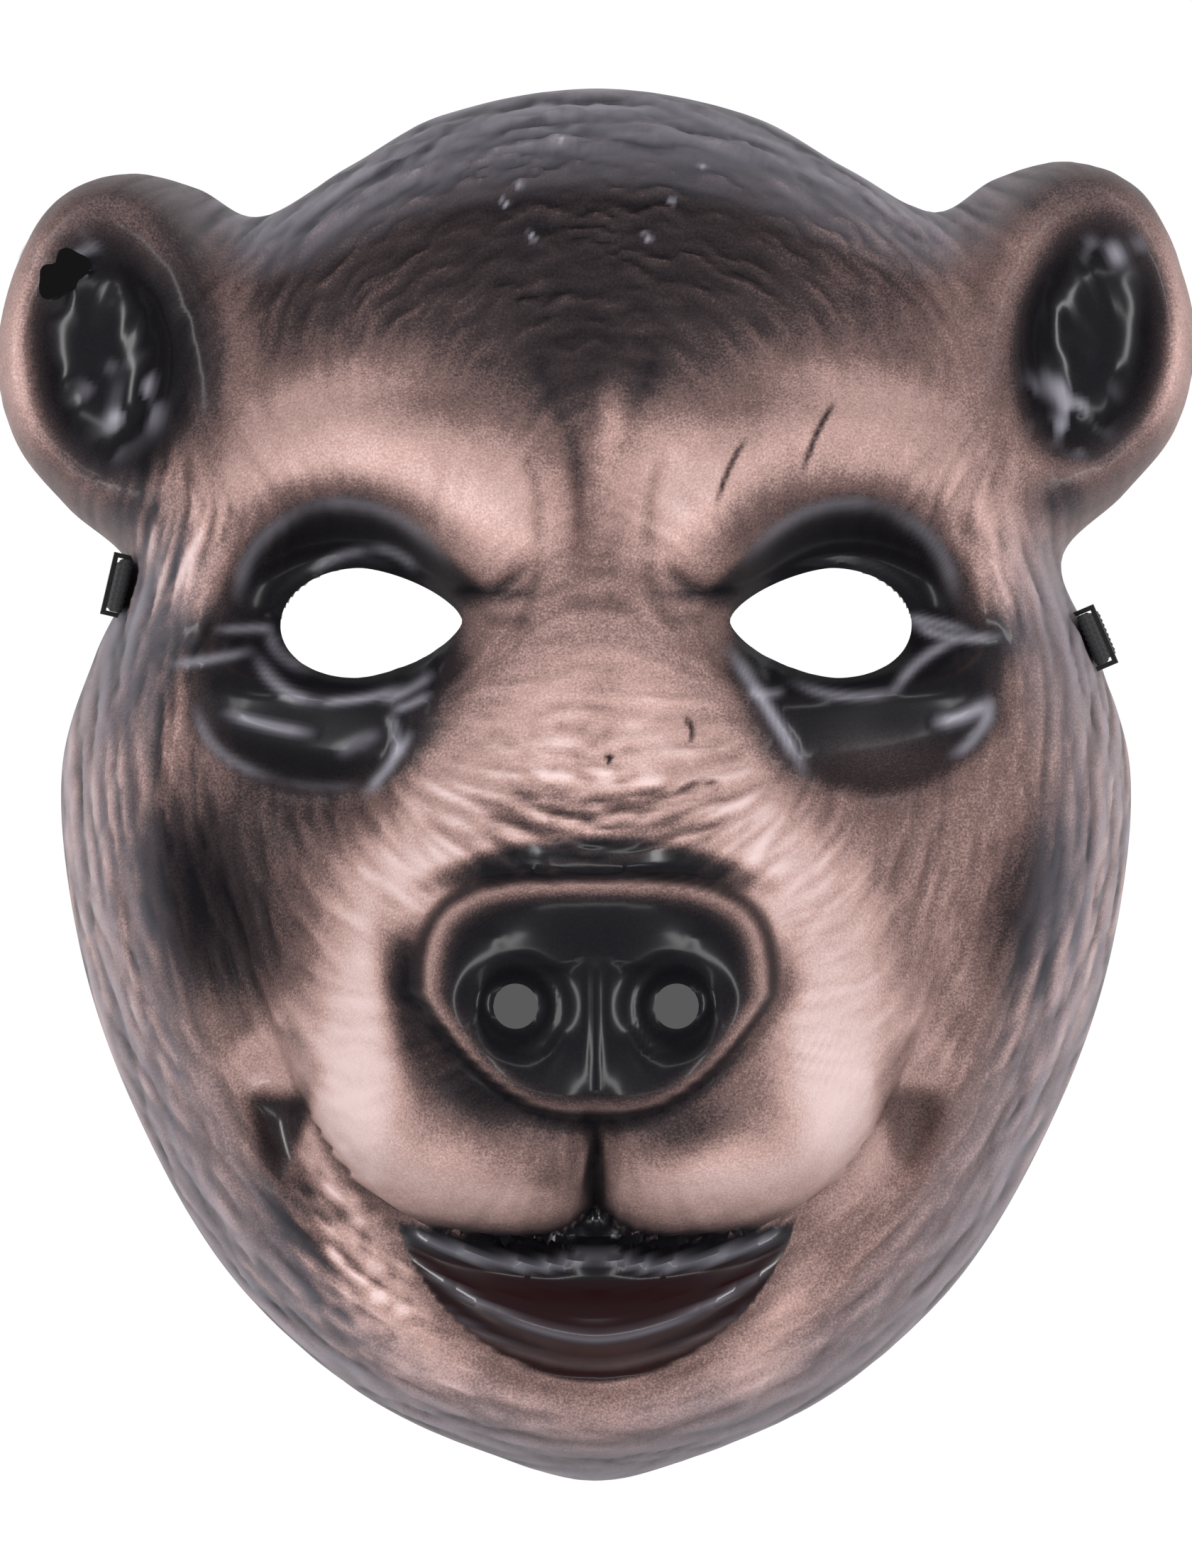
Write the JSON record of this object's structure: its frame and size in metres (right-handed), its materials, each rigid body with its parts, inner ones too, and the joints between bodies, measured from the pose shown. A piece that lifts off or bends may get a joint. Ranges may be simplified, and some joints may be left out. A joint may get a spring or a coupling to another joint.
{
  "type": "bear mask",
  "caption": "Thin formed plastic full-face bear mask with ears, muzzle, pierced eyes and nostrils, and a flat elastic strap stapled at the temples to hold it on the face.",
  "frame": {"origin": "middle of the plane of the trimmed rim, on which the mask lies face up", "axes": "+Z out of the face, +Y to the crown, +X to the right of the face as it is seen"},
  "size_m": [0.2048, 0.24, 0.0986],
  "materials": {
    "painted_plastic": "black gloss sheet with a sprayed satin beige coat",
    "elastic": "ribbed woven elastic",
    "staple_wire": "drawn wire"
  },
  "bodies": {
    "root": {"mask_shell": "painted_plastic", "elastic_strap": "elastic", "strap_staple_left": "staple_wire", "strap_staple_right": "staple_wire"}
  },
  "joints": []
}
